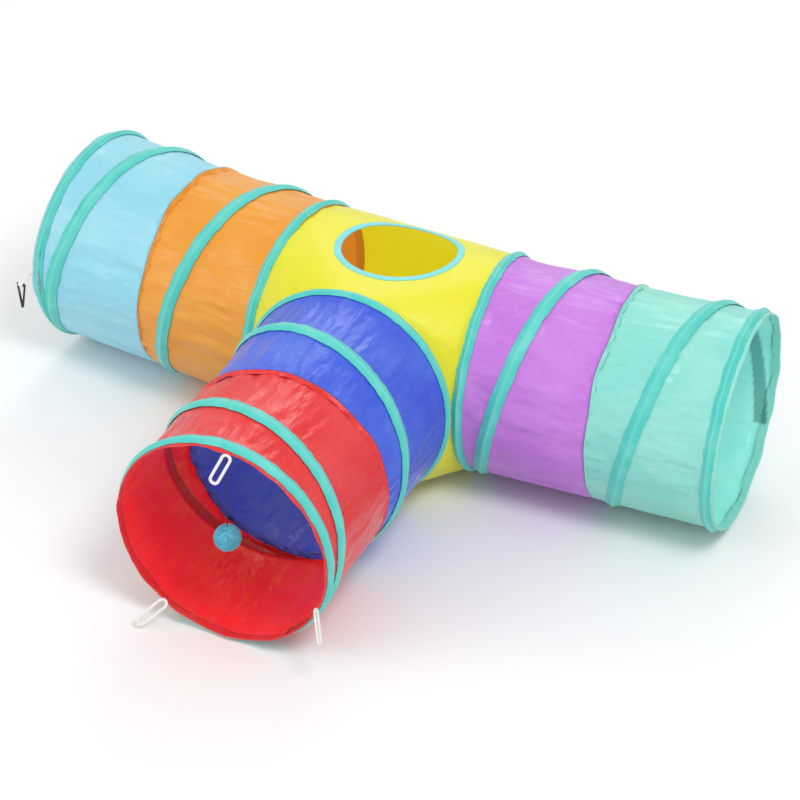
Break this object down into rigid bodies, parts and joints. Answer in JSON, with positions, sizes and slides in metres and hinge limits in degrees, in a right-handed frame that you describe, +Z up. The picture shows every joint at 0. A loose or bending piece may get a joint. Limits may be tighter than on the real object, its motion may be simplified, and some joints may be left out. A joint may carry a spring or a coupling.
{
  "type": "agility tunnel",
  "caption": "T-shaped pop-up fabric tunnel: a yellow hub with a roof window joins coloured arms on spiral spring wire; a pompom hangs in the branch mouth.",
  "frame": {"origin": "on the floor under the middle of the hub", "axes": "+X towards the right arm, -Y along the branch arm, +Z up"},
  "size_m": [0.8742, 0.6098, 0.25],
  "materials": {
    "yellow": "smooth polyester taffeta",
    "orange": "polyester taffeta, slight sheen",
    "sky_blue": "thin polyester taffeta, slightly translucent",
    "purple": "thin polyester taffeta, slight sheen",
    "mint": "thin polyester taffeta, slightly translucent",
    "blue": "polyester taffeta, satin sheen",
    "red": "polyester taffeta, satin sheen",
    "tape": "teal polyester binding tape, stitched",
    "window_tape": "light cyan polyester binding tape, stitched",
    "wire": "drawn spring steel",
    "ferrule": "plated crimp",
    "elastic": "black covered elastic",
    "pompom": "fuzzy acrylic pompom",
    "white_tape": "white woven elastic",
    "hook": "moulded plastic"
  },
  "bodies": {
    "hub": {"hub_sleeve": "yellow", "window_binding": "window_tape", "left_inner_ring_wire": "wire", "left_inner_ring_ferrule": "ferrule", "left_inner_ring_binding": "tape", "left_orange_panel": "orange", "left_spiral_wire": "wire", "left_spiral_binding": "tape", "right_inner_ring_wire": "wire", "right_inner_ring_ferrule": "ferrule", "right_inner_ring_binding": "tape", "right_purple_panel": "purple", "right_spiral_wire": "wire", "right_spiral_binding": "tape", "branch_inner_ring_wire": "wire", "branch_inner_ring_ferrule": "ferrule", "branch_inner_ring_binding": "tape", "branch_blue_panel": "blue", "branch_spiral_wire": "wire", "branch_spiral_binding": "tape"},
    "left_mid": {"left_seam_band": "orange", "left_sky_blue_panel": "sky_blue"},
    "left_end": {"left_end_ring_wire": "wire", "left_end_ring_ferrule": "ferrule", "left_end_ring_binding": "tape"},
    "right_mid": {"right_seam_band": "purple", "right_mint_panel": "mint"},
    "right_end": {"right_end_ring_wire": "wire", "right_end_ring_ferrule": "ferrule", "right_end_ring_binding": "tape"},
    "branch_mid": {"branch_seam_band": "blue", "branch_red_panel": "red"},
    "branch_end": {"branch_end_ring_wire": "wire", "branch_end_ring_ferrule": "ferrule", "branch_end_ring_binding": "tape"},
    "pompom_swivel": {"pompom_knot": "elastic"},
    "pompom": {"pompom_cord": "elastic", "pompom_ball": "pompom"},
    "branch_tie_loop_top": {"branch_tie_loop_top": "white_tape"},
    "branch_tie_loop_right": {"branch_tie_loop_right": "white_tape"},
    "branch_tie_loop_left": {"branch_tie_loop_left": "white_tape"},
    "left_tie_strap_front": {"left_tie_strap_front": "white_tape"},
    "left_tie_hook_front": {"left_tie_hook_front": "hook"},
    "left_tie_strap_low": {"left_tie_strap_low": "white_tape"},
    "left_tie_hook_low": {"left_tie_hook_low": "hook"},
    "left_tie_strap_high": {"left_tie_strap_high": "white_tape"},
    "left_tie_hook_high": {"left_tie_hook_high": "hook"}
  },
  "joints": [
    {"name": "left_fold", "type": "slide", "parent": "hub", "child": "left_end", "axis": [0.9945, -0.1045, 0], "range_m": [0, 0.247], "stiffness_N_per_m": 60, "deforming": ["left_orange_panel", "left_sky_blue_panel", "left_spiral_wire", "left_spiral_binding"]},
    {"name": "left_mid_fold", "type": "slide", "parent": "hub", "child": "left_mid", "axis": [0.9945, -0.1045, 0], "range_m": [0, 0.12766], "deforming": ["left_orange_panel", "left_sky_blue_panel", "left_spiral_wire", "left_spiral_binding"]},
    {"name": "right_fold", "type": "slide", "parent": "hub", "child": "right_end", "axis": [-0.9983, -0.0576, 0], "range_m": [0, 0.2455], "stiffness_N_per_m": 60, "deforming": ["right_purple_panel", "right_mint_panel", "right_spiral_wire", "right_spiral_binding"]},
    {"name": "right_mid_fold", "type": "slide", "parent": "hub", "child": "right_mid", "axis": [-0.9983, -0.0576, 0], "range_m": [0, 0.12545], "deforming": ["right_purple_panel", "right_mint_panel", "right_spiral_wire", "right_spiral_binding"]},
    {"name": "branch_fold", "type": "slide", "parent": "hub", "child": "branch_end", "axis": [0, 1, 0], "range_m": [0, 0.249], "stiffness_N_per_m": 60, "deforming": ["branch_blue_panel", "branch_red_panel", "branch_spiral_wire", "branch_spiral_binding"]},
    {"name": "branch_mid_fold", "type": "slide", "parent": "hub", "child": "branch_mid", "axis": [0, 1, 0], "range_m": [0, 0.12492], "deforming": ["branch_blue_panel", "branch_red_panel", "branch_spiral_wire", "branch_spiral_binding"]},
    {"name": "pompom_swing_in_out", "type": "hinge", "parent": "branch_end", "child": "pompom_swivel", "pos_m": [0.005, -0.409, 0.2432], "axis": [1, 0, 0], "range_deg": [-20, 60]},
    {"name": "pompom_swing_sideways", "type": "hinge", "parent": "pompom_swivel", "child": "pompom", "pos_m": [0.005, -0.409, 0.2432], "axis": [0, 1, 0], "range_deg": [-45, 45]},
    {"name": "branch_tie_loop_top_swing", "type": "hinge", "parent": "branch_end", "child": "branch_tie_loop_top", "pos_m": [0.01249, -0.4161, 0.24385], "axis": [1, 0, 0], "range_deg": [-90, 0]},
    {"name": "branch_tie_loop_right_swing", "type": "hinge", "parent": "branch_end", "child": "branch_tie_loop_right", "pos_m": [0.11204, -0.4221, 0.08642], "axis": [1, 0, 0], "range_deg": [-90, 0]},
    {"name": "branch_tie_loop_left_swing", "type": "hinge", "parent": "branch_end", "child": "branch_tie_loop_left", "pos_m": [-0.06487, -0.4169, 0.02883], "axis": [1, 0, 0], "range_deg": [-60, 0]},
    {"name": "left_tie_strap_front_swing", "type": "hinge", "parent": "left_end", "child": "left_tie_strap_front", "pos_m": [-0.42401, -0.07831, 0.13354], "axis": [-0.9945, 0.1045, 0], "range_deg": [-80, 80]},
    {"name": "left_tie_hook_front_swing", "type": "hinge", "parent": "left_tie_strap_front", "child": "left_tie_hook_front", "pos_m": [-0.43893, -0.07674, 0.11155], "axis": [-0.9945, 0.1045, 0], "range_deg": [-60, 60]},
    {"name": "left_tie_strap_low_swing", "type": "hinge", "parent": "left_end", "child": "left_tie_strap_low", "pos_m": [-0.40425, 0.08763, 0.01102], "axis": [-0.1045, -0.9945, 0], "range_deg": [-100, 0]},
    {"name": "left_tie_hook_low_swing", "type": "hinge", "parent": "left_tie_strap_low", "child": "left_tie_hook_low", "pos_m": [-0.4259, 0.08991, 0.00783], "axis": [-0.1045, -0.9945, 0], "range_deg": [-60, 0]},
    {"name": "left_tie_strap_high_swing", "type": "hinge", "parent": "left_end", "child": "left_tie_strap_high", "pos_m": [-0.40217, 0.11895, 0.22087], "axis": [-0.1045, -0.9945, 0], "range_deg": [-100, 0]},
    {"name": "left_tie_hook_high_swing", "type": "hinge", "parent": "left_tie_strap_high", "child": "left_tie_hook_high", "pos_m": [-0.40217, 0.11895, 0.19887], "axis": [-0.1045, -0.9945, 0], "range_deg": [-60, 60]}
  ],
  "couplings": [
    {"joint": "left_mid_fold", "follows": "left_fold", "ratio": 0.51684},
    {"joint": "right_mid_fold", "follows": "right_fold", "ratio": 0.511},
    {"joint": "branch_mid_fold", "follows": "branch_fold", "ratio": 0.50167}
  ]
}
